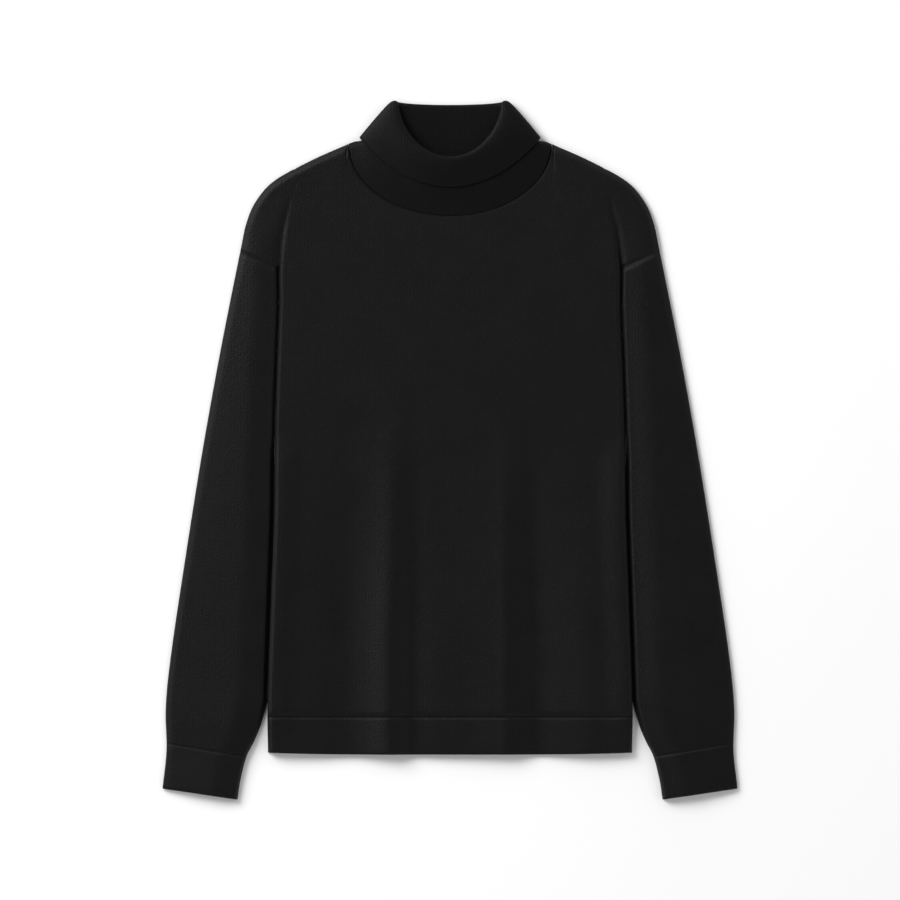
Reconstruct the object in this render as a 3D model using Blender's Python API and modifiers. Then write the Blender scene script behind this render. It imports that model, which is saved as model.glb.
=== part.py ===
# Fine-knit turtleneck sweater, laid out flat on its back with the front side up.
#
# +Y runs from the hem to the collar, +X to the viewer's right and +Z up. The origin lies on the
# surface that the sweater rests on, under the middle of its bounding box. Every length below is
# in millimetres; grid_piece turns points into metres.

import math
from collections import namedtuple

import bmesh
import bpy
import numpy as np

MILLIMETRE = 0.001

# Cloth
WALL = 1.5                  # thickness of the knitted cloth
SEAM_GAP = 0.3              # between two pieces at a seam

# Layers of the body
BODY_TOP = 6.3              # upper face of the front over the surface below the sweater
SEAM_HEIGHT = 3.5           # upper face of the front along the seams, where it lies on the back
ROLL_WIDTH = 8.0            # the front bends down to a seam over this width
SIDE_LIFT = 4.0             # the side edges lie this high on the tucked sleeves
SIDE_TOP = 9.2              # upper face of the front over the tucked sleeves
LIFT_LEVEL = 8.0            # width of the lifted strip along each side
LIFT_WIDTH = 28.0           # the lift has faded out this far from the side

# Body lengths along Y
HEM_SIDE_Y = -336.1
HEM_MIDDLE_Y = -338.3
HEM_LINE_Y = -296.7         # seam between the body and its hem band
UNDERARM_Y = 21.7
ARMHOLE_Y = 202.0           # the armhole seam comes out of the side valley here
VALLEY_END_Y = 294.0        # the side valley has run out into the shoulder here
NECK_POINT = (114.0, 339.5)
FRONT_NECK_Y = 259.3
BACK_NECK_Y = 316.0
SHOULDER_VALLEY = (172.0, 312.2)    # where the line of the side valley meets the shoulder seam

# Sleeve layers
SLEEVE_TOP = 6.8            # highest upper face of a sleeve
SLEEVE_SLOPE = 1.2          # a sleeve is this much lower along its outer edge
SLEEVE_FOLD = 3.6           # thickness of a sleeve at its folds
FOLD_LEVEL = 2.5            # it stays level this far out from under the body
SLEEVE_RISE = 18.0          # width over which it swells from the fold to full thickness
CUFF_DROP = 1.0             # a cuff is this much thinner than its sleeve
CUFF_BLEND_Y = (-300.0, -345.0)

# Mesh resolution
BODY_COLUMNS = 10
NECK_COLUMNS = 7            # of the body columns, these end at the neckline
COLLAR_COLUMNS = 4 * NECK_COLUMNS

EdgePoint = namedtuple("EdgePoint", "x y")
Fold = namedtuple("Fold", "top_x top_y hem_x left_width right_width depth")
Station = namedtuple(
    "Station", "half_width side_y front_y back_y front_z side_z back_z bow front_flat back_flat")
SleeveRow = namedtuple("SleeveRow", "outer_y inner_y")
YokeRow = namedtuple("YokeRow", "neck shoulder drop")

# Outer edge of the right half, from the neck point over the shoulder and down to the cuff
OUTER_EDGE = (
    EdgePoint(*NECK_POINT),
    EdgePoint(154.0, 321.7),
    EdgePoint(195.0, 299.2),
    EdgePoint(215.0, 277.2),
    EdgePoint(225.6, 254.0),
    EdgePoint(232.8, 221.7),
    EdgePoint(255.0, 110.6),
    EdgePoint(275.0, -0.6),
    EdgePoint(292.8, -111.7),
    EdgePoint(309.4, -222.8),
    EdgePoint(315.8, -285.0),
    EdgePoint(315.0, -333.0),
    EdgePoint(319.4, -376.1),
)

# Valley between body and sleeve, then the inner fold of the sleeve down to the cuff
INNER_EDGE = (
    EdgePoint(175.0, VALLEY_END_Y),
    EdgePoint(185.0, 248.0),
    EdgePoint(190.6, ARMHOLE_Y),
    EdgePoint(190.6, 160.0),
    EdgePoint(193.2, 95.0),
    EdgePoint(195.7, UNDERARM_Y),
    EdgePoint(196.0, -14.0),
    EdgePoint(190.8, -62.0),
    EdgePoint(190.8, -150.0),
    EdgePoint(194.5, -220.0),
    EdgePoint(201.0, -270.0),
    EdgePoint(208.6, -301.0),
    EdgePoint(217.2, -322.8),
    EdgePoint(226.2, -341.0),
    EdgePoint(232.8, -367.0),
    EdgePoint(236.1, -388.3),
)

# Side edge of the body below the underarm
SIDE_EDGE = (
    EdgePoint(195.2, UNDERARM_Y),
    EdgePoint(195.0, -56.0),
    EdgePoint(198.9, -167.0),
    EdgePoint(202.6, -278.0),
    EdgePoint(202.2, HEM_SIDE_Y),
)

# Soft folds of the front: each deepens from its top down to the hem
FOLDS = (
    Fold(top_x=-128.0, top_y=75.0, hem_x=-144.0, left_width=30.0, right_width=30.0, depth=1.5),
    Fold(top_x=-64.0, top_y=55.0, hem_x=-52.0, left_width=17.0, right_width=26.0, depth=2.4),
    Fold(top_x=-8.0, top_y=-20.0, hem_x=0.0, left_width=16.0, right_width=22.0, depth=0.6),
    Fold(top_x=72.0, top_y=40.0, hem_x=98.0, left_width=20.0, right_width=38.0, depth=2.3),
)
RIDGE_HEIGHT = 0.5          # the front stands this much higher between the folds

# The collar from the neckline seam up its inner layer, over the fold and down its outer layer.
# bow bends the front of a ring towards its sides. A small front_flat keeps the front high right
# across the ring, and a small back_flat keeps the back low.
COLLAR = (
    Station(112.8, 339.2, 259.9, 316.6, 5.5, 3.4, 0.8, bow=1.0, front_flat=0.25, back_flat=0.45),
    Station(106.0, 341.8, 270.0, 323.5, 8.0, 4.0, 2.8, bow=1.0, front_flat=0.35, back_flat=0.45),
    Station(95.0, 344.8, 290.0, 331.0, 11.6, 4.8, 3.0, bow=1.1, front_flat=0.45, back_flat=0.45),
    Station(80.0, 362.0, 309.0, 352.0, 13.4, 5.4, 3.0, bow=1.15, front_flat=0.6, back_flat=0.45),
    Station(61.0, 379.5, 321.2, 374.0, 15.0, 6.0, 3.2, bow=1.2, front_flat=0.7, back_flat=0.4),
    Station(57.6, 383.6, 324.2, 380.4, 16.2, 6.2, 3.1, bow=1.2, front_flat=0.75, back_flat=0.4),
    Station(60.2, 387.2, 325.2, 382.4, 17.7, 6.0, 2.1, bow=1.2, front_flat=0.75, back_flat=0.35),
    Station(66.0, 385.6, 322.6, 381.2, 19.1, 5.2, 1.0, bow=1.25, front_flat=0.7, back_flat=0.3),
    Station(75.5, 376.0, 315.0, 371.0, 18.6, 4.6, 0.8, bow=1.4, front_flat=0.6, back_flat=0.2),
    Station(88.5, 361.0, 303.0, 350.0, 16.6, 4.2, 0.8, bow=1.6, front_flat=0.55, back_flat=0.2),
    Station(100.0, 347.0, 292.4, 331.0, 14.4, 4.0, 0.8, bow=1.85, front_flat=0.5, back_flat=0.2),
)

# Rows of a sleeve, by where each one meets the outer and the inner edge
SLEEVE_ROWS = (
    SleeveRow(221.7, ARMHOLE_Y),
    SleeveRow(180.0, 155.0),
    SleeveRow(135.0, 110.0),
    SleeveRow(88.0, 64.0),
    SleeveRow(44.0, UNDERARM_Y),
    SleeveRow(8.0, -14.0),
    SleeveRow(-26.0, -40.0),
    SleeveRow(-60.0, -70.0),
    SleeveRow(-110.0, -120.0),
    SleeveRow(-160.0, -168.0),
    SleeveRow(-210.0, -216.0),
    SleeveRow(-250.0, -256.0),
    SleeveRow(-278.0, -284.0),
    SleeveRow(-298.0, -304.0),
    SleeveRow(-313.0, -322.0),
    SleeveRow(-325.3, -340.4),
)
CUFF_ROWS = (
    SleeveRow(-325.7, -340.8),
    SleeveRow(-340.0, -354.0),
    SleeveRow(-358.0, -371.0),
    SleeveRow(-376.1, -388.3),
)

# Rows of the body at its side edge, from the hem seam up to the armhole
BODY_ROWS = (
    HEM_LINE_Y + SEAM_GAP / 2, -240.0, -180.0, -120.0, -60.0, -14.0, UNDERARM_Y, 64.0, 110.0,
    155.0, ARMHOLE_Y)
CAP_STEPS = (0.25, 0.52, 0.8, 0.92, 1.0)
ROLL_STEPS = (0.6, 0.25, 0.0)       # columns of a rolled edge, in widths of the roll

# Rows above the armhole, as shares of the way to neckline, shoulder seam and dropped shoulder
YOKE_ROWS = (
    YokeRow(neck=0.22, shoulder=0.24, drop=0.18),
    YokeRow(neck=0.42, shoulder=0.5, drop=0.35),
    YokeRow(neck=0.6, shoulder=0.76, drop=0.52),
    YokeRow(neck=0.78, shoulder=0.93, drop=0.72),
    YokeRow(neck=0.9, shoulder=0.975, drop=0.88),
    YokeRow(neck=1.0, shoulder=1.0, drop=1.0),
)

KNIT_COLOUR = (0.012, 0.012, 0.013, 1.0)
COLLAR_COLOUR = (0.010, 0.010, 0.011, 1.0)
BAND_COLOUR = (0.014, 0.014, 0.015, 1.0)
KNIT_ROUGHNESS = 0.85


def smooth_curve(points, steps=12):
    """Points along a Catmull-Rom curve through the given edge points."""
    knots = [np.array(point, dtype=float) for point in points]
    knots = [2 * knots[0] - knots[1], *knots, 2 * knots[-1] - knots[-2]]
    curve = []
    for before, start, end, after in zip(knots, knots[1:], knots[2:], knots[3:]):
        for step in range(steps):
            t = step / steps
            curve.append(0.5 * (2 * start + (end - before) * t
                                + (2 * before - 5 * start + 4 * end - after) * t ** 2
                                + (3 * start - before - 3 * end + after) * t ** 3))
    curve.append(knots[-2])
    return np.array(curve)


OUTER_CURVE = smooth_curve(OUTER_EDGE)
INNER_CURVE = smooth_curve(INNER_EDGE)
SIDE_CURVE = smooth_curve(SIDE_EDGE)


def x_at(curve, y):
    """Where a curve that runs down from its first point crosses the height y."""
    return float(np.interp(-y, -curve[:, 1], curve[:, 0]))


def side_x(y):
    """Side edge of the body: the valley above the underarm, the side seam below it."""
    if y >= UNDERARM_Y:
        return x_at(INNER_CURVE, y) - SEAM_GAP / 2
    return x_at(SIDE_CURVE, y)


def outer_distance(x, y):
    """Distance from a point to the outer edge of shoulder and sleeve."""
    start = OUTER_CURVE[:-1]
    run = OUTER_CURVE[1:] - start
    offset = np.array((abs(x), y)) - start
    along = np.clip((offset * run).sum(axis=1) / (run * run).sum(axis=1), 0.0, 1.0)
    return float(np.hypot(*(offset - along[:, None] * run).T).min())


def smooth_step(value):
    value = min(max(value, 0.0), 1.0)
    return value * value * (3.0 - 2.0 * value)


def roll_share(distance):
    """Share of its full height that the cloth has reached at a distance from its seam."""
    return math.sin(math.pi / 2 * min(max(distance / ROLL_WIDTH, 0.0), 1.0))


def side_lift(y):
    """How far the side edges are lifted by the sleeves tucked under them, from 0 to 1."""
    start = smooth_step((UNDERARM_Y - y) / 30.0)
    end = smooth_step((y - HEM_SIDE_Y + 6.0) / 60.0)
    return start * end


def valley_depth(y):
    """Depth of the side valley: full up to the armhole and fading over the shoulder."""
    return 1.0 - smooth_step((y - ARMHOLE_Y) / (VALLEY_END_Y - ARMHOLE_Y))


def fold_height(x, y):
    """Soft folds of the front at a point, above or below its even height."""
    height = RIDGE_HEIGHT * smooth_step((90.0 - y) / 200.0)
    for fold in FOLDS:
        reach = smooth_step((fold.top_y - y) / 260.0)
        run = (fold.top_y - y) / (fold.top_y - HEM_SIDE_Y)
        offset = x - (fold.top_x + (fold.hem_x - fold.top_x) * run)
        width = fold.left_width if offset < 0.0 else fold.right_width
        height -= fold.depth * reach * math.exp(-(1.7 * offset / width) ** 2)
    return height


def lifted_share(x, y):
    """Share of the side lift that reaches a point of the body."""
    distance = side_x(y) - abs(x)
    return side_lift(y) * (1.0 - smooth_step((distance - LIFT_LEVEL) / (LIFT_WIDTH - LIFT_LEVEL)))


def sleeve_height(x, y):
    """Upper face of a sleeve, or of the dropped shoulder above the armhole."""
    across = max(abs(x) - x_at(INNER_CURVE, y), 0.0)
    tuck = max(side_x(y) - x_at(INNER_CURVE, y), 0.0)
    outer = outer_distance(x, y)
    rise = (across - tuck - FOLD_LEVEL) / SLEEVE_RISE
    swell = math.sin(math.pi / 2 * min(max(rise, 0.0), 1.0))
    swell = 1.0 - (1.0 - swell) * valley_depth(y)
    cuff = smooth_step((CUFF_BLEND_Y[0] - y) / (CUFF_BLEND_Y[0] - CUFF_BLEND_Y[1]))
    crown = SLEEVE_TOP - CUFF_DROP * cuff
    crown -= SLEEVE_SLOPE * (across / (across + outer + 1.0)) ** 1.5
    crown += (BODY_TOP - crown) * (1.0 - valley_depth(y))
    return SEAM_HEIGHT + (crown - SEAM_HEIGHT) * swell * roll_share(outer)


def front_height(x, y):
    """Upper face of the front."""
    if y > ARMHOLE_Y - 0.01 and abs(x) > x_at(INNER_CURVE, y) - 0.2:
        return sleeve_height(x, y)
    lifted = lifted_share(x, y)
    top = BODY_TOP + fold_height(x, y) * (1.0 - lifted) + (SIDE_TOP - BODY_TOP) * lifted
    edge = SEAM_HEIGHT + SIDE_LIFT * side_lift(y)
    edge = top - (top - edge) * valley_depth(y)
    height = edge + (top - edge) * roll_share(side_x(y) - abs(x))
    if y <= ARMHOLE_Y:
        return height
    return SEAM_HEIGHT + (height - SEAM_HEIGHT) * roll_share(outer_distance(x, y))


def back_height(x, y):
    """Lower face of the back: flat on the surface, lifted where the sleeves are tucked in."""
    if y >= UNDERARM_Y:
        return 0.0
    return SIDE_LIFT * lifted_share(x, y)


def curve_share(points, shares):
    """Points at the given shares of a curve's length."""
    points = np.asarray(points, dtype=float)
    lengths = np.concatenate(([0.0], np.cumsum(np.hypot(*np.diff(points, axis=0).T))))
    stations = np.asarray(shares) * lengths[-1]
    return np.column_stack([np.interp(stations, lengths, points[:, axis]) for axis in (0, 1)])


def neckline(neck_y):
    """Right half of a neckline, from the middle up to the neck point."""
    angles = np.linspace(0.0, math.pi / 2, NECK_COLUMNS + 1)
    x = NECK_POINT[0] * np.sin(angles)
    y = neck_y + (NECK_POINT[1] - neck_y) * (1.0 - np.cos(angles))
    return np.column_stack((x, y))


def body_row(y):
    """Plan points of the right half of a level row, from the middle to the side edge."""
    edge = side_x(y)
    inner = np.linspace(0.0, edge - ROLL_WIDTH, BODY_COLUMNS + 1)
    rolled = [edge - ROLL_WIDTH * step for step in ROLL_STEPS]
    return np.array([(x, y) for x in (*inner, *rolled)])


def yoke_rows(neck_y):
    """Plan rows above the armhole: a patch between armhole, neckline and shoulder."""
    main = body_row(ARMHOLE_Y)
    armhole_end = OUTER_EDGE[5]
    cap = main[-1] + np.outer(CAP_STEPS, np.array(armhole_end) - main[-1])
    bottom = np.vstack((main, cap))

    shoulder = OUTER_CURVE[OUTER_CURVE[:, 0] <= SHOULDER_VALLEY[0]]
    shoulder = np.vstack((shoulder, SHOULDER_VALLEY))
    corner = OUTER_CURVE[(OUTER_CURVE[:, 0] > SHOULDER_VALLEY[0])
                         & (OUTER_CURVE[:, 1] >= OUTER_EDGE[3].y)]
    corner = np.vstack((SHOULDER_VALLEY, corner))
    top = np.vstack((
        neckline(neck_y),
        curve_share(shoulder, np.linspace(0.0, 1.0, len(main) - NECK_COLUMNS))[1:],
        curve_share(corner, np.linspace(0.0, 1.0, len(CAP_STEPS) + 1))[1:]))

    drop = OUTER_CURVE[(OUTER_CURVE[:, 1] <= OUTER_EDGE[3].y)
                       & (OUTER_CURVE[:, 1] >= armhole_end.y)][::-1]
    across = np.linspace(0.0, 1.0, len(bottom))[:, None]
    below_neck = (np.arange(len(bottom)) < NECK_COLUMNS)[:, None]
    rows = [bottom]
    for row in YOKE_ROWS:
        step = np.where(below_neck, row.neck, row.shoulder)
        level = (1.0 - step) * bottom + step * top
        right = curve_share(drop, [row.drop])[0]
        rows.append(level + across ** 2 * (right - level[-1]))
    return rows


def mirrored_row(points, width, height):
    """A whole row from its right half, with heights, padded to the grid's width."""
    padding = [None] * (width - len(points))
    right = [(x, y, height(x, y)) for x, y in points] + padding
    left = [(-x, y, height(-x, y)) for x, y in points[1:]] + padding
    return left[::-1] + right


def panel_rows(neck_y, height):
    """Grid of a whole front or back, from the hem seam to neckline and shoulders."""
    yoke = yoke_rows(neck_y)
    width = len(yoke[0])
    rows = [mirrored_row(body_row(y), width, height) for y in BODY_ROWS[:-1]]
    rows += [mirrored_row(points, width, height) for points in yoke]
    return rows


def band_rows(height):
    """Grid of one hem band. Its lower edge droops a little in the middle."""
    top_y = HEM_LINE_Y - SEAM_GAP / 2
    rows = []
    for share in (1.0, 0.5, 0.0):
        points = body_row(HEM_SIDE_Y + (top_y - HEM_SIDE_Y) * share)
        droop = (HEM_MIDDLE_Y - HEM_SIDE_Y) * (1.0 - share)
        points[:, 1] += droop * (1.0 - (points[:, 0] / points[-1, 0]) ** 4)
        rows.append(mirrored_row(points, len(points), height))
    return rows[::-1]


def fold_share(distance, radius):
    """Half thickness of a round fold at a distance from its edge, in radii of the fold."""
    return math.sqrt(1.0 - (1.0 - min(distance / radius, 1.0)) ** 2)


def sleeve_ring(row, closed, side):
    """Points round one row of a sleeve: over the front from the inner edge, back below."""
    inner = np.array((x_at(INNER_CURVE, row.inner_y), row.inner_y))
    if not closed:
        inner[0] += SEAM_GAP / 2
    outer = np.array((x_at(OUTER_CURVE, row.outer_y), row.outer_y))
    width = float(np.hypot(*(outer - inner)))
    tuck = max(side_x(row.inner_y) - inner[0], 0.0)
    radius = SLEEVE_FOLD / 2
    front = [0.0, 0.3 * radius, radius, tuck + 2.6, tuck + 10.0, 0.36 * width, 0.55 * width,
             0.75 * width, width - ROLL_WIDTH, width - 0.5 * ROLL_WIDTH, width - radius,
             width - 0.3 * radius, width]
    back = [width - 0.3 * radius, width - radius, 0.65 * width, 0.3 * width, radius,
            0.3 * radius, 0.0]
    ring = []
    for distances, upper in ((front, True), (back, False)):
        for distance in distances:
            x, y = inner + (outer - inner) * distance / width
            share = fold_share(width - distance, radius)
            if closed:
                share *= fold_share(distance, radius)
            level = sleeve_height(x, y) - radius if upper else -radius
            ring.append((side * x, y, radius + level * share))
    return ring


def sleeve_rows(table, side):
    """Grid of a sleeve or cuff. Above the underarm a row is open towards the body."""
    return [sleeve_ring(row, row.inner_y < UNDERARM_Y + 0.1, side) for row in table]


def armhole_shift(rows):
    """Leaves the seam gap between a sleeve's first row and the armhole of the body."""
    rows[0] = [(x, y - 1.5 * SEAM_GAP, z) for x, y, z in rows[0]]
    return rows


def collar_ring(station):
    """One ring of the collar, from the middle of the front once round."""
    ring = []
    for column in range(COLLAR_COLUMNS + 1):
        angle = 2.0 * math.pi * column / COLLAR_COLUMNS
        lean = math.cos(angle)
        x = station.half_width * math.sin(angle)
        if lean >= 0.0:
            bow = 1.0 - lean ** station.bow
            y = station.front_y + (station.side_y - station.front_y) * bow
            z = station.side_z + (station.front_z - station.side_z) * lean ** station.front_flat
        else:
            y = station.back_y + (station.side_y - station.back_y) * (1.0 + lean)
            z = station.side_z + (station.back_z - station.side_z) * (-lean) ** station.back_flat
        ring.append((x, y, z))
    return ring


def knit_material(name, colour):
    """Plain matt knit."""
    material = bpy.data.materials.new(name)
    material.use_nodes = True
    shader = material.node_tree.nodes["Principled BSDF"]
    shader.inputs["Base Color"].default_value = colour
    shader.inputs["Roughness"].default_value = KNIT_ROUGHNESS
    shader.inputs["Metallic"].default_value = 0.0
    return material


def grid_piece(name, rows, material, collection, flip=False, offset=-1.0):
    """A piece of cloth: a sheet through the rows of a grid, thickened to the wall."""
    mesh = bpy.data.meshes.new(name)
    sheet = bmesh.new()
    vertices = [[point and sheet.verts.new([length * MILLIMETRE for length in point])
                 for point in row] for row in rows]
    for lower, upper in zip(vertices, vertices[1:]):
        for column in range(len(lower) - 1):
            corners = [lower[column], lower[column + 1], upper[column + 1], upper[column]]
            if all(corners):
                sheet.faces.new(corners[::-1] if flip else corners)
    bmesh.ops.remove_doubles(sheet, verts=sheet.verts[:], dist=0.00001)
    loose = [vertex for vertex in sheet.verts if not vertex.link_faces]
    bmesh.ops.delete(sheet, geom=loose, context="VERTS")
    sheet.to_mesh(mesh)
    sheet.free()
    mesh.materials.append(material)
    mesh.shade_smooth()
    mesh.set_sharp_from_angle(angle=math.radians(50.0))
    piece = bpy.data.objects.new(name, mesh)
    collection.objects.link(piece)
    thickness = piece.modifiers.new("Cloth", "SOLIDIFY")
    thickness.thickness = WALL * MILLIMETRE
    thickness.offset = offset
    return piece


def build_sweater():
    for old in list(bpy.data.objects):
        bpy.data.objects.remove(old, do_unlink=True)
    collection = bpy.data.collections.new("turtleneck_sweater")
    bpy.context.scene.collection.children.link(collection)
    knit = knit_material("knit", KNIT_COLOUR)
    collar_knit = knit_material("collar_knit", COLLAR_COLOUR)
    band_knit = knit_material("band_knit", BAND_COLOUR)

    front = panel_rows(FRONT_NECK_Y, front_height)
    back = panel_rows(BACK_NECK_Y, back_height)
    pieces = [
        grid_piece("front_panel", front, knit, collection),
        grid_piece("back_panel", back, knit, collection, flip=True),
        grid_piece("hem_band_front", band_rows(front_height), band_knit, collection),
        grid_piece("hem_band_back", band_rows(back_height), band_knit, collection, flip=True),
        grid_piece("collar", [collar_ring(station) for station in COLLAR], collar_knit,
                   collection, offset=0.0),
    ]
    for name, side in (("left", -1.0), ("right", 1.0)):
        sleeve = armhole_shift(sleeve_rows(SLEEVE_ROWS, side))
        cuff = sleeve_rows(CUFF_ROWS, side)
        pieces.append(grid_piece("sleeve_" + name, sleeve, knit, collection, flip=side > 0.0))
        pieces.append(grid_piece("cuff_" + name, cuff, band_knit, collection, flip=side > 0.0))

    frame = bpy.data.objects.new("sweater_frame", None)
    collection.objects.link(frame)
    for piece in pieces:
        piece.parent = frame


build_sweater()
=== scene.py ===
# Turtleneck sweater laid flat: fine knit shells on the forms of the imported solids.
# Lengths in the tables are millimetres; the meshes are metres.
import math
import bmesh
import bpy
import numpy as np
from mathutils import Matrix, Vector, noise


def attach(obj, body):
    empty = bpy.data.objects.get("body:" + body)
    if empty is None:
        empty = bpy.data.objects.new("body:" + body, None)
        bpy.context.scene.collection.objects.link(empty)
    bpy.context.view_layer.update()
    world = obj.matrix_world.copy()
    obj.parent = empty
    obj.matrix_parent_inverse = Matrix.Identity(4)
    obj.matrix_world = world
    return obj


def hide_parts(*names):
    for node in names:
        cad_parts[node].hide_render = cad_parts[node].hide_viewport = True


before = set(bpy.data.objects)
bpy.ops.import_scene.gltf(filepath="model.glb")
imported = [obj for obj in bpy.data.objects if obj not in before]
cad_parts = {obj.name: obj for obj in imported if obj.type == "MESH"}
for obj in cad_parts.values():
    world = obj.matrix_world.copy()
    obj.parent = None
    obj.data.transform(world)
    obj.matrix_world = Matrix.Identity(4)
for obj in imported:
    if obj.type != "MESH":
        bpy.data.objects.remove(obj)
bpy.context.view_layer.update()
print("frame loaded:", sorted(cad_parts))

# unevenEdge is how far in from an edge the cloth is fully uneven
cloth = {"wall": 1.5, "gap": 0.3, "unevenness": 0.22, "unevenSize": 46.0, "unevenEdge": 12.0}

outline = {
    # right half: the shoulder, then the outer edge of sleeve and cuff
    "outer": [(114, 339.5), (154, 321.7), (195, 299.2), (215, 277.2), (225.6, 254), (232.8, 221.7),
              (255, 110.6), (275, -0.6), (292.8, -111.7), (309.4, -222.8), (315.8, -285),
              (315, -333), (319.4, -376.1)],
    # valley between body and sleeve, then the sleeve's inner fold
    "inner": [(175, 294), (185, 248), (190.6, 202), (190.6, 160), (193.2, 95), (195.5, 21.7),
              (195.2, -14), (190.8, -62), (190.8, -150), (194.5, -220), (201, -270),
              (208.6, -301), (217.2, -322.8), (226.2, -341), (232.8, -367), (236.1, -388.3)],
    # side seam below the underarm
    "side": [(195.2, 21.7), (195, -56), (198.9, -167), (202.6, -278), (202.2, -336.1)],
    # which points of the outer line the shoulder's corner and the armhole seam are at
    "cornerPoint": 3, "armholePoint": 5,
    "neckPoint": (114.0, 339.5), "frontNeck": 259.3, "backNeck": 316.0,
    "shoulderValley": (172.0, 312.2), "hemSide": -336.1, "hemMiddle": -338.3,
    "hemLine": -296.7, "underarm": 21.7, "armhole": 202.0, "valleyEnd": 294.0,
}

body = {
    "top": 8.4, "seam": 3.5, "roll": 8.0, "sideRoll": 5.0, "sideLift": 4.0, "sideTop": 11.0,
    # strip along each side that the tucked sleeves lift, and where the lift starts and ends
    "liftLevel": 8.0, "liftWidth": 34.0, "liftStart": 50.0, "liftEnd": 60.0, "liftPastHem": 6.0,
    # height across the front at the hem, over its even height; it fades out up to the chest
    "across": [(-190, 0.8), (-150, -0.2), (-116, -2.4), (-94, -0.6), (-70, 4.4), (-57, 2.4),
               (-41, -2.6), (-15, -1.2), (24, 0.2), (50, 1.6), (63, 2.5), (80, -1.0),
               (97, -4.4), (124, -1.8), (152, 0.6), (190, 0.0)],
    "foldTop": 75.0, "foldFull": -235.0, "foldSpread": 0.07,
}

sleeve = {"top": 11.8, "slope": 6.6, "fold": 3.6, "level": 2.5, "rise": 34.0, "steepRise": 4.5,
          "steepShare": 0.5, "cuffDrop": 1.0, "cuffBlend": (-300.0, -345.0)}

collar = {
    # half width, side y, front y, back y, front z, side z, back z, bow, front flat, back flat
    "rings": [(112.8, 339.2, 259.9, 316.6, 7.7, 3.4, 0.8, 1.0, 0.25, 0.45),
              (106.0, 341.8, 270.0, 323.5, 9.2, 4.0, 2.8, 1.0, 0.35, 0.45),
              (95.0, 344.8, 290.0, 331.0, 12.0, 4.8, 3.0, 1.1, 0.45, 0.45),
              (80.0, 362.0, 309.0, 352.0, 13.4, 5.4, 3.0, 1.15, 0.6, 0.45),
              (61.0, 379.5, 321.2, 374.0, 15.0, 6.0, 3.2, 1.2, 0.7, 0.4),
              (57.6, 383.6, 324.2, 380.4, 16.2, 6.2, 3.1, 1.2, 0.75, 0.4),
              (60.2, 387.2, 325.2, 382.4, 17.7, 6.0, 2.1, 1.2, 0.75, 0.35),
              (66.0, 385.6, 322.6, 381.2, 19.1, 5.2, 1.0, 1.25, 0.7, 0.3),
              (75.5, 376.0, 315.0, 371.0, 18.6, 4.6, 0.8, 1.4, 0.6, 0.2),
              (88.5, 361.0, 303.0, 350.0, 16.6, 4.2, 0.8, 1.6, 0.55, 0.2),
              (100.0, 347.0, 292.4, 331.0, 14.4, 4.0, 0.8, 1.85, 0.5, 0.2)],
    "columns": 144, "stepsBetween": 5,
}

knit = {"colour": (0.0021, 0.0021, 0.0022), "roughness": 0.52, "specular": 0.15,
        "sheen": 0.01, "sheenRoughness": 0.5, "walesPerMetre": 620.0, "coursesPerMetre": 820.0,
        "depth": 0.00022, "bumpStrength": 0.5,
        # how far the arms of a stitch slant, and how much of its height is left between loops
        "slant": 1.1, "loopShare": 0.6,
        # soft patches, heathered yarn and loose fibres: noise scale, detail
        "patches": (24.0, 5.0), "heather": (560.0, 2.0), "fibre": (2600.0, 3.0),
        # the stitch shade is painted shade: the colour goes darker in the hollows between stitches
        # and lighter on the loop tops
        "patchShade": 0.35, "stitchPaintedShade": 0.35, "leastShade": 0.55, "patchRoughness": 0.12,
        "heatherHeight": 5.5, "fibreHeight": 0.35}

# radius, and how far up the cloth and into it each seam line lies; stitches show above "least"
seams = {"cuff": (0.35, 0.2, 0.1), "armhole": (0.5, 0.35, 0.4), "hem": (0.38, 0.15, 0.1),
         "neck": (0.5, 0.0, 0.0), "sides": 8, "least": 2.6}

# keyFrom is the side that the light comes from; the ceiling dims between two upward slopes
studio = {"key": 400.0, "keySize": 3.6, "keyHeight": 32.0, "keyFar": 6.0, "keyFrom": (-0.81, 0.58),
          "overhead": 0.06, "sides": 1.15, "ceiling": (0.55, 0.88), "floor": (0.9, 0.9, 0.9),
          "cameraHeight": 12.0, "sensor": 36.0, "seenWidth": 1.0}


def smoothCurve(points, steps=12):
    knots = [np.array(p, dtype=float) for p in points]
    knots = [2 * knots[0] - knots[1], *knots, 2 * knots[-1] - knots[-2]]
    curve = []
    for a, b, c, d in zip(knots, knots[1:], knots[2:], knots[3:]):
        for step in range(steps):
            t = step / steps
            curve.append(0.5 * (2 * b + (c - a) * t + (2 * a - 5 * b + 4 * c - d) * t ** 2
                                + (3 * b - a - 3 * c + d) * t ** 3))
    curve.append(knots[-2])
    return np.array(curve)


outerCurve = smoothCurve(outline["outer"])
innerCurve = smoothCurve(outline["inner"])
sideCurve = smoothCurve(outline["side"])


def xAt(curve, y):
    return float(np.interp(-y, -curve[:, 1], curve[:, 0]))


def sideX(y):
    if y >= outline["underarm"]:
        return xAt(innerCurve, y) - cloth["gap"] / 2
    return xAt(sideCurve, y)


def outerDistance(x, y):
    start = outerCurve[:-1]
    run = outerCurve[1:] - start
    offset = np.array((abs(x), y)) - start
    along = np.clip((offset * run).sum(axis=1) / (run * run).sum(axis=1), 0.0, 1.0)
    return float(np.hypot(*(offset - along[:, None] * run).T).min())


def smoothStep(value):
    value = min(max(value, 0.0), 1.0)
    return value * value * (3.0 - 2.0 * value)


def rollShare(distance, width=body["roll"]):
    return math.sin(math.pi / 2 * min(max(distance / width, 0.0), 1.0))


def sideLift(y):
    start = smoothStep((outline["underarm"] - y) / body["liftStart"])
    aboveHem = y - outline["hemSide"] + body["liftPastHem"]
    return start * smoothStep(aboveHem / body["liftEnd"])


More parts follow.
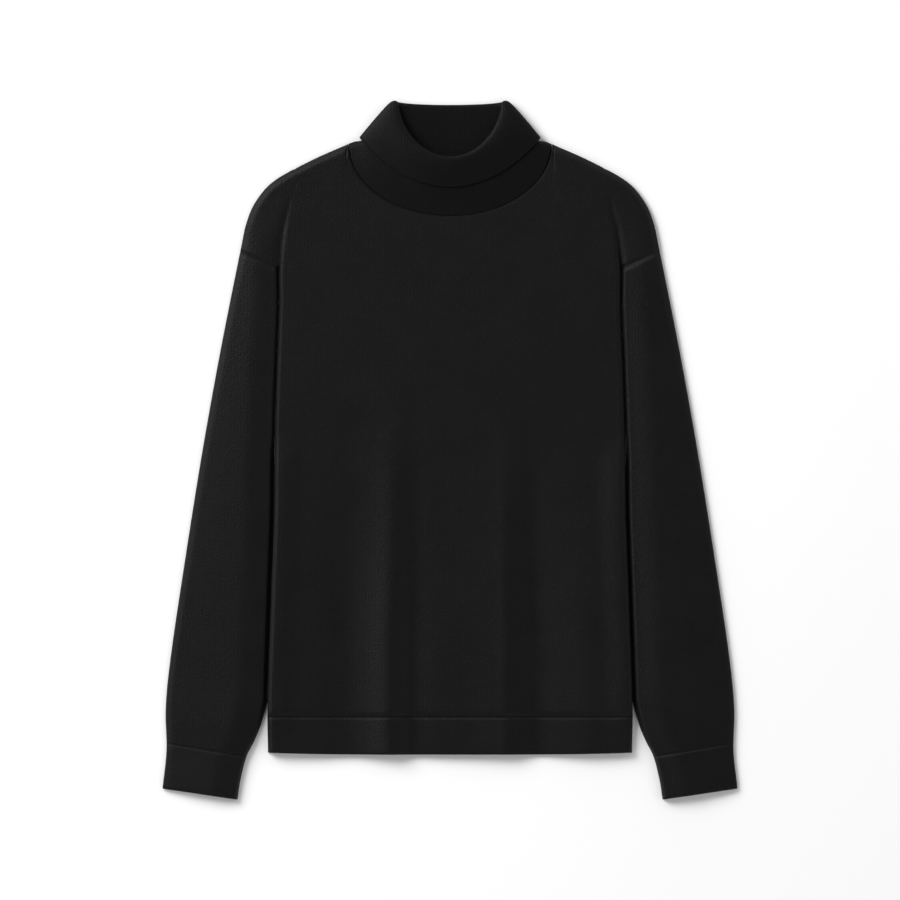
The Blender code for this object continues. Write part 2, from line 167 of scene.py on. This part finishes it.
def valleyDepth(y):
    return 1.0 - smoothStep((y - outline["armhole"]) / (outline["valleyEnd"] - outline["armhole"]))


def uneven(x, y, inset):
    # the soft unevenness of cloth smoothed out by hand, none right at an edge
    size = cloth["unevenSize"]
    wave = noise.noise(Vector((x / size, y / (1.8 * size), 3.7)))
    wave += 0.4 * noise.noise(Vector((x * 2.3 / size, y * 2.3 / size, 9.1)))
    return cloth["unevenness"] * wave * smoothStep(inset / cloth["unevenEdge"])


acrossCurve = smoothCurve(body["across"])


def foldHeight(x, y):
    # soft folds that run down the front and spread a little towards the hem
    run = (body["foldTop"] - y) / (body["foldTop"] - body["foldFull"])
    spread = 1.0 - body["foldSpread"] * (1.0 - min(max(run, 0.0), 1.0))
    reach = smoothStep(run) ** 0.8 if run > 0.0 else 0.0
    return reach * float(np.interp(x / spread, acrossCurve[:, 0], acrossCurve[:, 1]))


def liftedShare(x, y):
    distance = sideX(y) - abs(x)
    fade = (distance - body["liftLevel"]) / (body["liftWidth"] - body["liftLevel"])
    return sideLift(y) * (1.0 - smoothStep(fade))


def sleeveHeight(x, y):
    across = max(abs(x) - xAt(innerCurve, y), 0.0)
    tuck = max(sideX(y) - xAt(innerCurve, y), 0.0)
    outer = outerDistance(x, y)
    clear = across - tuck - sleeve["level"] * sideLift(y)
    swell = sleeve["steepShare"] * rollShare(clear, sleeve["steepRise"])
    swell += (1.0 - sleeve["steepShare"]) * smoothStep(clear / sleeve["rise"])
    swell = 1.0 - (1.0 - swell) * valleyDepth(y)
    blend = sleeve["cuffBlend"]
    crown = sleeve["top"] - sleeve["cuffDrop"] * smoothStep((blend[0] - y) / (blend[0] - blend[1]))
    crown -= sleeve["slope"] * (across / (across + outer + 1.0)) ** 1.5
    crown += (body["top"] - crown) * (1.0 - valleyDepth(y))
    crown += uneven(x, y, min(across, outer))
    return body["seam"] + (crown - body["seam"]) * swell * rollShare(outer)


def frontHeight(x, y):
    if y > outline["armhole"] - 0.01 and abs(x) > xAt(innerCurve, y) - 0.2:
        return sleeveHeight(x, y)
    lifted = liftedShare(x, y)
    inset = sideX(y) - abs(x)
    top = body["top"] + foldHeight(x, y) * (1.0 - lifted) + (body["sideTop"] - body["top"]) * lifted
    top += uneven(x, y, inset)
    edge = body["seam"] + body["sideLift"] * sideLift(y)
    edge = top - (top - edge) * valleyDepth(y)
    height = edge + (top - edge) * rollShare(inset, body["sideRoll"])
    if y <= outline["armhole"]:
        return height
    return body["seam"] + (height - body["seam"]) * rollShare(outerDistance(x, y))


def backHeight(x, y):
    if y >= outline["underarm"]:
        return 0.0
    return body["sideLift"] * liftedShare(x, y)


grid = {"columns": 42, "neck": 30, "rollSteps": 7, "capSteps": 14, "bodyRows": 74, "yokeRows": 32,
        "sleeveRows": 96, "cuffRows": 14}


def curveShare(points, shares):
    points = np.asarray(points, dtype=float)
    lengths = np.concatenate(([0.0], np.cumsum(np.hypot(*np.diff(points, axis=0).T))))
    at = np.asarray(shares) * lengths[-1]
    return np.column_stack([np.interp(at, lengths, points[:, axis]) for axis in (0, 1)])


def neckline(neckY):
    angles = np.linspace(0.0, math.pi / 2, grid["neck"] + 1)
    halfWidth, topY = outline["neckPoint"]
    return np.column_stack((halfWidth * np.sin(angles),
                            neckY + (topY - neckY) * (1.0 - np.cos(angles))))


def bodyRow(y):
    edge = sideX(y)
    inner = np.linspace(0.0, edge - body["roll"], grid["columns"] + 1)
    rolled = edge - body["roll"] * np.linspace(1.0, 0.0, grid["rollSteps"] + 1)[1:] ** 1.4
    return np.array([(x, y) for x in (*inner, *rolled)])


def yokeRows(neckY):
    main = bodyRow(outline["armhole"])
    armholeEnd = np.array(outline["outer"][outline["armholePoint"]], dtype=float)
    capShares = np.sin(np.linspace(0.0, math.pi / 2, grid["capSteps"] + 1))[1:] ** 1.1
    bottom = np.vstack((main, main[-1] + np.outer(capShares, armholeEnd - main[-1])))
    valley = np.array(outline["shoulderValley"])
    cornerY = outline["outer"][outline["cornerPoint"]][1]
    shoulder = np.vstack((outerCurve[outerCurve[:, 0] <= valley[0]], valley))
    corner = np.vstack((valley, outerCurve[(outerCurve[:, 0] > valley[0])
                                           & (outerCurve[:, 1] >= cornerY)]))
    top = np.vstack((
        neckline(neckY),
        curveShare(shoulder, np.linspace(0.0, 1.0, len(main) - grid["neck"]))[1:],
        curveShare(corner, np.linspace(0.0, 1.0, grid["capSteps"] + 1))[1:]))
    drop = outerCurve[(outerCurve[:, 1] <= cornerY) & (outerCurve[:, 1] >= armholeEnd[1])][::-1]
    across = np.linspace(0.0, 1.0, len(bottom))[:, None]
    belowNeck = (np.arange(len(bottom)) < grid["neck"])[:, None]
    rows = [bottom]
    for share in np.linspace(0.0, 1.0, grid["yokeRows"] + 1)[1:]:
        step = np.where(belowNeck, share, 1.0 - (1.0 - share) ** 1.8)
        level = (1.0 - step) * bottom + step * top
        right = curveShare(drop, [share])[0]
        rows.append(level + across ** 2 * (right - level[-1]))
    return rows


def mirroredRow(points, width, height):
    padding = [None] * (width - len(points))
    right = [(x, y, height(x, y)) for x, y in points] + padding
    left = [(-x, y, height(-x, y)) for x, y in points[1:]] + padding
    return left[::-1] + right


def panelRows(neckY, height):
    yoke = yokeRows(neckY)
    start = outline["hemLine"] + cloth["gap"] / 2
    levels = np.linspace(start, outline["armhole"], grid["bodyRows"] + 1)[:-1]
    rows = [mirroredRow(bodyRow(y), len(yoke[0]), height) for y in levels]
    return rows + [mirroredRow(points, len(yoke[0]), height) for points in yoke]


def bandRows(height):
    topY = outline["hemLine"] - cloth["gap"] / 2
    rows = []
    for share in np.linspace(0.0, 1.0, 13):
        points = bodyRow(outline["hemSide"] + (topY - outline["hemSide"]) * share)
        droop = (outline["hemMiddle"] - outline["hemSide"]) * (1.0 - share)
        points[:, 1] += droop * (1.0 - (points[:, 0] / points[-1, 0]) ** 4)
        rows.append(mirroredRow(points, len(points), height))
    return rows


def foldShare(distance, radius):
    return math.sqrt(1.0 - (1.0 - min(distance / radius, 1.0)) ** 2)


def sleeveRing(outerY, innerY, side):
    closed = innerY < outline["underarm"] + 0.1
    inner = np.array((xAt(innerCurve, innerY), innerY))
    if not closed:
        inner[0] += cloth["gap"] / 2
    outer = np.array((xAt(outerCurve, outerY), outerY))
    width = float(np.hypot(*(outer - inner)))
    tuck = max(sideX(innerY) - inner[0], 0.0)
    radius = sleeve["fold"] / 2
    roll = [width - radius * share for share in (1.0, 0.7, 0.45, 0.25, 0.1, 0.03, 0.0)]
    fold = [radius * share for share in (0.0, 0.03, 0.1, 0.25, 0.45, 0.7, 1.0)]
    wide = list(tuck + 2.6 + (width - body["roll"] - tuck - 2.6)
                * np.linspace(0.0, 1.0, 34) ** 1.6)
    near = [width - body["roll"] * share for share in (0.85, 0.7, 0.55, 0.4, 0.3)]
    front = fold + wide + near + roll
    back = roll[-2::-1] + list(np.linspace(width - 4.0, 4.0, 14)) + fold[::-1]
    ring = []
    for distances, upper in ((front, True), (back, False)):
        for distance in distances:
            x, y = inner + (outer - inner) * distance / width
            share = foldShare(width - distance, radius)
            if closed:
                share *= foldShare(distance, radius)
            level = sleeveHeight(side * x, y) - radius if upper else -radius
            ring.append((side * x, y, radius + level * share))
    return ring


sleeveLevels = {
    "outer": [221.7, 180, 135, 88, 44, 8, -26, -60, -110, -160, -210, -250, -278, -298, -313,
              -325.3],
    "inner": [202, 155, 110, 64, 21.7, -14, -40, -70, -120, -168, -216, -256, -284, -304, -322,
              -340.4],
    "cuffOuter": [-325.7, -340, -358, -376.1], "cuffInner": [-340.8, -354, -371, -388.3],
}


def sleeveRows(outerLevels, innerLevels, count, side):
    # an inner level stays exactly on the underarm, where the slit ends
    knots = np.linspace(0.0, 1.0, len(outerLevels))
    shares = np.unique(np.concatenate((np.linspace(0.0, 1.0, count), knots)))
    return [sleeveRing(float(np.interp(s, knots, outerLevels)),
                       float(np.interp(s, knots, innerLevels)), side) for s in shares]


def collarRows():
    stations = np.array(collar["rings"])
    rings = smoothCurve(stations, collar["stepsBetween"])
    rows = []
    for halfWidth, sideY, frontY, backY, frontZ, sideZ, backZ, bow, frontFlat, backFlat in rings:
        row = []
        for column in range(collar["columns"] + 1):
            angle = 2.0 * math.pi * column / collar["columns"]
            lean = math.cos(angle)
            x = halfWidth * math.sin(angle)
            if lean >= 0.0:
                y = frontY + (sideY - frontY) * (1.0 - lean ** bow)
                z = sideZ + (frontZ - sideZ) * lean ** frontFlat
            else:
                y = backY + (sideY - backY) * (1.0 + lean)
                z = sideZ + (backZ - sideZ) * (-lean) ** backFlat
            row.append((x, y, z))
        rows.append(row)
    return rows


def clothPiece(name, node, rows, material, flip=False, offset=-1.0):
    mesh = bpy.data.meshes.new(name)
    sheet = bmesh.new()
    points = [[p and sheet.verts.new([length * 0.001 for length in p]) for p in row]
              for row in rows]
    for lower, upper in zip(points, points[1:]):
        for column in range(len(lower) - 1):
            corners = [lower[column], lower[column + 1], upper[column + 1], upper[column]]
            if all(corners):
                sheet.faces.new(corners[::-1] if flip else corners)
    bmesh.ops.remove_doubles(sheet, verts=sheet.verts[:], dist=0.00001)
    loose = [vertex for vertex in sheet.verts if not vertex.link_faces]
    bmesh.ops.delete(sheet, geom=loose, context="VERTS")
    sheet.to_mesh(mesh)
    sheet.free()
    mesh.materials.append(material)
    mesh.shade_smooth()
    piece = bpy.data.objects.new(name, mesh)
    bpy.context.scene.collection.objects.link(piece)
    thick = piece.modifiers.new("cloth", "SOLIDIFY")
    thick.thickness = cloth["wall"] * 0.001
    thick.offset = offset
    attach(piece, "root")
    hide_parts(node)
    return piece


def seamLine(name, kind, points, material):
    # the linked stitches along a seam: a fine raised line lying half in the cloth
    radius, along, sunk = seams[kind]
    mesh = bpy.data.meshes.new(name)
    tube = bmesh.new()
    path = [Vector((x, y + along, z - sunk)) * 0.001 for x, y, z in points]
    rings = []
    for index, centre in enumerate(path):
        ahead = path[min(index + 1, len(path) - 1)] - path[max(index - 1, 0)]
        across = ahead.cross(Vector((0, 0, 1))).normalized()
        up = across.cross(ahead).normalized()
        rings.append([tube.verts.new(centre + (across * math.cos(a) + up * math.sin(a))
                                     * radius * 0.001)
                      for a in np.linspace(0.0, 2 * math.pi, seams["sides"] + 1)[:-1]])
    for first, second in zip(rings, rings[1:]):
        for k in range(seams["sides"]):
            after = (k + 1) % seams["sides"]
            tube.faces.new((first[k], second[k], second[after], first[after]))
    tube.faces.new(rings[0])
    tube.faces.new(rings[-1][::-1])
    bmesh.ops.recalc_face_normals(tube, faces=tube.faces[:])
    tube.to_mesh(mesh)
    tube.free()
    mesh.materials.append(material)
    mesh.shade_smooth()
    piece = bpy.data.objects.new(name, mesh)
    bpy.context.scene.collection.objects.link(piece)
    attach(piece, "root")
    return piece


def plainKnitGroup():
    # plain knit: columns of V-shaped stitches, patches of tone, heathered yarn and fibres; the
    # colour also carries painted shade, darker in the hollows between stitches and lighter on the
    # loop tops
    group = bpy.data.node_groups.new("plainKnit", "ShaderNodeTree")
    for name, kind in (("Colour", "NodeSocketColor"), ("Roughness", "NodeSocketFloat"),
                       ("Wales", "NodeSocketFloat"), ("Courses", "NodeSocketFloat")):
        group.interface.new_socket(name, in_out="INPUT", socket_type=kind)
    for name, kind in (("Colour", "NodeSocketColor"), ("Roughness", "NodeSocketFloat"),
                       ("Height", "NodeSocketFloat")):
        group.interface.new_socket(name, in_out="OUTPUT", socket_type=kind)
    nodes, links = group.nodes, group.links
    given = nodes.new("NodeGroupInput")
    made = nodes.new("NodeGroupOutput")
    place = nodes.new("ShaderNodeTexCoord")
    axes = nodes.new("ShaderNodeSeparateXYZ")
    links.new(place.outputs["Object"], axes.inputs[0])

    def worked(operation, *values):
        node = nodes.new("ShaderNodeMath")
        node.operation = operation
        for socket, value in zip(node.inputs, values):
            if isinstance(value, (int, float)):
                socket.default_value = value
            else:
                links.new(value, socket)
        return node.outputs[0]

    def mottle(scaleAndDetail):
        node = nodes.new("ShaderNodeTexNoise")
        node.inputs["Scale"].default_value, node.inputs["Detail"].default_value = scaleAndDetail
        links.new(place.outputs["Object"], node.inputs["Vector"])
        return node.outputs[0]

    wale = worked("FRACT", worked("MULTIPLY", axes.outputs["X"], given.outputs["Wales"]))
    fromMiddle = worked("ABSOLUTE", worked("SUBTRACT", wale, 0.5))
    rounded = worked("SINE", worked("MULTIPLY", wale, math.pi))
    course = worked("MULTIPLY", axes.outputs["Y"], given.outputs["Courses"])
    slanted = worked("ADD", course, worked("MULTIPLY", fromMiddle, knit["slant"]))
    wave = worked("SINE", worked("MULTIPLY", slanted, 2 * math.pi))
    loop = worked("MULTIPLY_ADD", wave, 0.5, 0.5)
    stitch = worked("MULTIPLY_ADD", loop, knit["loopShare"], 1.0 - knit["loopShare"])
    height = worked("MULTIPLY", rounded, stitch)
    patches = mottle(knit["patches"])

    patchShade = worked("MULTIPLY", patches, knit["patchShade"])
    # colour tone: random patches of tone plus painted shade that darkens the hollows between
    # stitches
    toneAndPaintedShade = worked("ADD", worked("MULTIPLY", height, knit["stitchPaintedShade"]),
                   worked("ADD", patchShade, knit["leastShade"]))
    grey = nodes.new("ShaderNodeCombineColor")
    for socket in grey.inputs:
        links.new(toneAndPaintedShade, socket)
    tone = nodes.new("ShaderNodeMix")
    tone.data_type = "RGBA"
    tone.blend_type = "MULTIPLY"
    tone.inputs[0].default_value = 1.0
    links.new(given.outputs["Colour"], tone.inputs[6])
    links.new(grey.outputs[0], tone.inputs[7])
    links.new(tone.outputs[2], made.inputs["Colour"])

    evenPatches = worked("SUBTRACT", patches, 0.5)
    roughness = worked("ADD", given.outputs["Roughness"],
                       worked("MULTIPLY", evenPatches, knit["patchRoughness"]))
    links.new(roughness, made.inputs["Roughness"])

    fuzz = worked("ADD", worked("MULTIPLY", mottle(knit["fibre"]), knit["fibreHeight"]),
                  worked("MULTIPLY", mottle(knit["heather"]), knit["heatherHeight"]))
    links.new(worked("ADD", height, fuzz), made.inputs["Height"])
    return group


knitGroup = plainKnitGroup()


def knitMaterial(name, brightness=1.0, shine=1.0, depth=1.0):
    material = bpy.data.materials.new(name)
    material.use_nodes = True
    nodes, links = material.node_tree.nodes, material.node_tree.links
    shader = nodes["Principled BSDF"]
    shader.inputs["Specular IOR Level"].default_value = knit["specular"] * shine
    shader.inputs["Sheen Weight"].default_value = knit["sheen"]
    shader.inputs["Sheen Roughness"].default_value = knit["sheenRoughness"]
    shader.inputs["Metallic"].default_value = 0.0
    effect = nodes.new("ShaderNodeGroup")
    effect.node_tree = knitGroup
    effect.inputs["Colour"].default_value = (*[c * brightness for c in knit["colour"]], 1.0)
    effect.inputs["Roughness"].default_value = knit["roughness"]
    effect.inputs["Wales"].default_value = knit["walesPerMetre"]
    effect.inputs["Courses"].default_value = knit["coursesPerMetre"]
    bump = nodes.new("ShaderNodeBump")
    bump.inputs["Strength"].default_value = knit["bumpStrength"]
    bump.inputs["Distance"].default_value = knit["depth"] * depth
    links.new(effect.outputs["Colour"], shader.inputs["Base Color"])
    links.new(effect.outputs["Roughness"], shader.inputs["Roughness"])
    links.new(effect.outputs["Height"], bump.inputs["Height"])
    links.new(bump.outputs["Normal"], shader.inputs["Normal"])
    return material


bodyKnit = knitMaterial("bodyKnit")
# painted shade: the collar wears the same knit made darker and less shiny, for the shade inside and
# under the collar
collarPaintedShadeKnit = knitMaterial("collarPaintedShadeKnit", brightness=0.7, shine=0.7)
bandKnit = knitMaterial("bandKnit", brightness=1.05)
# painted highlight: the cuff, hem and neck seams wear the same knit made lighter and shinier, for
# the bright line along each raised seam
seamPaintedHighlightKnit = knitMaterial("seamPaintedHighlightKnit", brightness=1.5, shine=1.15, depth=0.5)
print("knit materials made")

frontRows = panelRows(outline["frontNeck"], frontHeight)
backRows = panelRows(outline["backNeck"], backHeight)
frontPanel = clothPiece("frontPanel", "front_panel", frontRows, bodyKnit)
backPanel = clothPiece("backPanel", "back_panel", backRows, bodyKnit, flip=True)
print("front and back made")

hemFrontRows = bandRows(frontHeight)
hemFront = clothPiece("hemBandFront", "hem_band_front", hemFrontRows, bandKnit)
hemBack = clothPiece("hemBandBack", "hem_band_back", bandRows(backHeight), bandKnit,
                     flip=True)
print("hem bands made")

collarTube = clothPiece("collarTube", "collar", collarRows(), collarPaintedShadeKnit, offset=0.0)
print("collar made")

for sideName, side in (("Left", -1.0), ("Right", 1.0)):
    tubeRows = sleeveRows(sleeveLevels["outer"], sleeveLevels["inner"], grid["sleeveRows"], side)
    tubeRows[0] = [(x, y - 1.5 * cloth["gap"], z) for x, y, z in tubeRows[0]]
    tube = clothPiece("sleeve" + sideName, "sleeve_" + sideName.lower(), tubeRows, bodyKnit,
                      flip=side > 0.0)
    cuffTube = sleeveRows(sleeveLevels["cuffOuter"], sleeveLevels["cuffInner"], grid["cuffRows"],
                          side)
    cuff = clothPiece("cuff" + sideName, "cuff_" + sideName.lower(), cuffTube,
                      bandKnit, flip=side > 0.0)
    cuffLine = [p for p in cuffTube[0] if p[2] > seams["least"]]
    seamLine("cuffSeam" + sideName, "cuff", cuffLine, seamPaintedHighlightKnit)
    armLine = [p for p in tubeRows[0] if p[2] > seams["least"]]
    seamLine("armholeSeam" + sideName, "armhole", armLine, bodyKnit)
    print("sleeve and cuff made:", sideName)

seamLine("hemSeam", "hem", hemFrontRows[-1], seamPaintedHighlightKnit)
middle = len(frontRows[-1]) // 2
neckLine = frontRows[-1][middle - grid["neck"]:middle + grid["neck"] + 1]
seamLine("neckSeam", "neck", neckLine, seamPaintedHighlightKnit)
print("seams made")

floorMesh = bpy.data.meshes.new("floor")
floorMesh.from_pydata([(-6, -6, -0.0004), (6, -6, -0.0004), (6, 6, -0.0004), (-6, 6, -0.0004)],
                      [], [(0, 1, 2, 3)])
floor = bpy.data.objects.new("floor", floorMesh)
bpy.context.scene.collection.objects.link(floor)
floorFinish = bpy.data.materials.new("floorFinish")
floorFinish.use_nodes = True
floorShader = floorFinish.node_tree.nodes["Principled BSDF"]
floorShader.inputs["Base Color"].default_value = (*studio["floor"], 1.0)
floorShader.inputs["Roughness"].default_value = 1.0
floorShader.inputs["Specular IOR Level"].default_value = 0.0
floorMesh.materials.append(floorFinish)

world = bpy.data.worlds.new("studio")
bpy.context.scene.world = world
world.use_nodes = True
# pale walls all round and a dim ceiling, so that the cloth keeps its depth from above
sky = world.node_tree
direction = sky.nodes.new("ShaderNodeTexCoord")
upward = sky.nodes.new("ShaderNodeSeparateXYZ")
ceiling = sky.nodes.new("ShaderNodeMapRange")
ceiling.interpolation_type = "SMOOTHSTEP"
ceiling.inputs["From Min"].default_value = studio["ceiling"][0]
ceiling.inputs["From Max"].default_value = studio["ceiling"][1]
ceiling.inputs["To Min"].default_value = studio["sides"]
ceiling.inputs["To Max"].default_value = studio["overhead"]
sky.links.new(direction.outputs["Generated"], upward.inputs[0])
sky.links.new(upward.outputs["Z"], ceiling.inputs["Value"])
sky.nodes["Background"].inputs["Color"].default_value = (1.0, 1.0, 1.0, 1.0)
sky.links.new(ceiling.outputs[0], sky.nodes["Background"].inputs["Strength"])

rise = math.radians(studio["keyHeight"])
fromX, fromY = studio["keyFrom"]
towards = Vector((fromX * math.cos(rise), fromY * math.cos(rise), math.sin(rise)))
keyLight = bpy.data.lights.new("key", "AREA")
keyLight.shape = "DISK"
keyLight.size = studio["keySize"]
keyLight.energy = studio["key"]
key = bpy.data.objects.new("key", keyLight)
key.location = towards * studio["keyFar"]
key.rotation_euler = towards.to_track_quat("Z", "Y").to_euler()
bpy.context.scene.collection.objects.link(key)

lens = bpy.data.cameras.new("camera")
lens.sensor_width = studio["sensor"]
lens.lens = studio["sensor"] * studio["cameraHeight"] / studio["seenWidth"]
lens.clip_end = 60.0
camera = bpy.data.objects.new("camera", lens)
camera.location = (0.0, 0.0, studio["cameraHeight"])
bpy.context.scene.collection.objects.link(camera)
bpy.context.scene.camera = camera
bpy.context.scene.view_settings.view_transform = "Standard"
